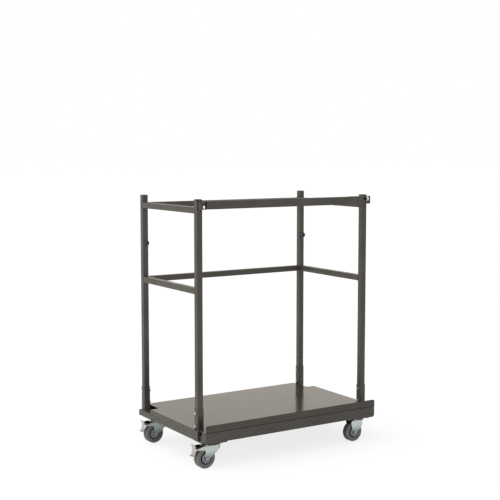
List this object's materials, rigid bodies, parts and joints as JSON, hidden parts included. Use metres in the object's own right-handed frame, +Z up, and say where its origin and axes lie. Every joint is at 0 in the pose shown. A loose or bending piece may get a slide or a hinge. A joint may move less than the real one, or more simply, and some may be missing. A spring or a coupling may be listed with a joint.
{
  "type": "chair transport trolley",
  "caption": "Steel trolley for stacked chairs: sheet deck with a front lip, bolted posts with rails, a swinging front bar and swivel castors with brakes on one side.",
  "frame": {"origin": "on the floor under the middle of the overall footprint, wheels straight as in the picture", "axes": "+X along the length to the right, seen from the open front; +Y to the rear; +Z up"},
  "size_m": [1.0844, 0.684, 1.29],
  "materials": {
    "dark_paint": "satin powder coat, dark warm grey",
    "zinc_steel": "bright zinc plating",
    "bearing_steel": "greased steel",
    "grey_tyre": "matt grey rubber",
    "wheel_plastic": "blue-grey moulded plastic",
    "cap_plastic": "black moulded plastic"
  },
  "bodies": {
    "trolley_frame": {"base_left_tube": "dark_paint", "base_right_tube": "dark_paint", "base_front_tube": "dark_paint", "base_centre_tube": "dark_paint", "base_rear_tube": "dark_paint", "frame_end_plates": "dark_paint", "deck_sheet": "dark_paint", "front_apron": "dark_paint", "corner_plates": "dark_paint", "front_left_socket": "dark_paint", "front_right_socket": "dark_paint", "rear_left_socket": "dark_paint", "rear_right_socket": "dark_paint", "front_left_post": "dark_paint", "front_right_post": "dark_paint", "rear_left_post": "dark_paint", "rear_right_post": "dark_paint", "post_caps": "cap_plastic", "post_bolts": "zinc_steel", "left_mid_rail": "dark_paint", "right_mid_rail": "dark_paint", "rear_mid_rail": "dark_paint", "left_top_rail": "dark_paint", "right_top_rail": "dark_paint", "rear_top_rail": "dark_paint", "hinge_barrel": "dark_paint", "hinge_pin": "dark_paint", "latch_staple": "dark_paint", "castor_plates": "zinc_steel", "castor_kingpins": "zinc_steel", "castor_ball_rings": "bearing_steel", "castor_bolts": "zinc_steel"},
    "swing_bar": {"front_bar": "dark_paint", "bar_end_plug": "cap_plastic", "bar_hinge_fork": "dark_paint", "latch_plate": "dark_paint"},
    "front_left_castor": {"front_left_fork": "zinc_steel", "front_left_axle": "zinc_steel", "front_left_thread_guards": "wheel_plastic", "front_left_brake_pin": "zinc_steel"},
    "front_left_rolling_wheel": {"front_left_wheel": "wheel_plastic", "front_left_tyre": "grey_tyre"},
    "front_left_pedal": {"front_left_brake_pedal": "zinc_steel"},
    "front_right_castor": {"front_right_fork": "zinc_steel", "front_right_axle": "zinc_steel", "front_right_thread_guards": "wheel_plastic"},
    "front_right_rolling_wheel": {"front_right_wheel": "wheel_plastic", "front_right_tyre": "grey_tyre"},
    "rear_left_castor": {"rear_left_fork": "zinc_steel", "rear_left_axle": "zinc_steel", "rear_left_thread_guards": "wheel_plastic", "rear_left_brake_pin": "zinc_steel"},
    "rear_left_rolling_wheel": {"rear_left_wheel": "wheel_plastic", "rear_left_tyre": "grey_tyre"},
    "rear_left_pedal": {"rear_left_brake_pedal": "zinc_steel"},
    "rear_right_castor": {"rear_right_fork": "zinc_steel", "rear_right_axle": "zinc_steel", "rear_right_thread_guards": "wheel_plastic"},
    "rear_right_rolling_wheel": {"rear_right_wheel": "wheel_plastic", "rear_right_tyre": "grey_tyre"}
  },
  "joints": [
    {"name": "front_bar_swing", "type": "hinge", "parent": "trolley_frame", "child": "swing_bar", "pos_m": [-0.47775, -0.274, 1.262], "axis": [0, 0, -1], "range_deg": [0, 110]},
    {"name": "front_left_swivel", "type": "hinge", "parent": "trolley_frame", "child": "front_left_castor", "pos_m": [-0.43225, -0.281, 0.112], "axis": [0, 0, 1], "continuous": true},
    {"name": "front_left_roll", "type": "hinge", "parent": "front_left_castor", "child": "front_left_rolling_wheel", "pos_m": [-0.46825, -0.281, 0.05], "axis": [0, -1, 0], "continuous": true},
    {"name": "front_left_brake", "type": "hinge", "parent": "front_left_castor", "child": "front_left_pedal", "pos_m": [-0.50225, -0.281, 0.1005], "axis": [0, -1, 0], "range_deg": [0, 12]},
    {"name": "front_right_swivel", "type": "hinge", "parent": "trolley_frame", "child": "front_right_castor", "pos_m": [0.46275, -0.281, 0.112], "axis": [0, 0, 1], "continuous": true},
    {"name": "front_right_roll", "type": "hinge", "parent": "front_right_castor", "child": "front_right_rolling_wheel", "pos_m": [0.42675, -0.281, 0.05], "axis": [0, -1, 0], "continuous": true},
    {"name": "rear_left_swivel", "type": "hinge", "parent": "trolley_frame", "child": "rear_left_castor", "pos_m": [-0.43225, 0.252, 0.112], "axis": [0, 0, 1], "continuous": true},
    {"name": "rear_left_roll", "type": "hinge", "parent": "rear_left_castor", "child": "rear_left_rolling_wheel", "pos_m": [-0.46825, 0.252, 0.05], "axis": [0, -1, 0], "continuous": true},
    {"name": "rear_left_brake", "type": "hinge", "parent": "rear_left_castor", "child": "rear_left_pedal", "pos_m": [-0.50225, 0.252, 0.1005], "axis": [0, -1, 0], "range_deg": [0, 12]},
    {"name": "rear_right_swivel", "type": "hinge", "parent": "trolley_frame", "child": "rear_right_castor", "pos_m": [0.46275, 0.252, 0.112], "axis": [0, 0, 1], "continuous": true},
    {"name": "rear_right_roll", "type": "hinge", "parent": "rear_right_castor", "child": "rear_right_rolling_wheel", "pos_m": [0.42675, 0.252, 0.05], "axis": [0, -1, 0], "continuous": true}
  ]
}
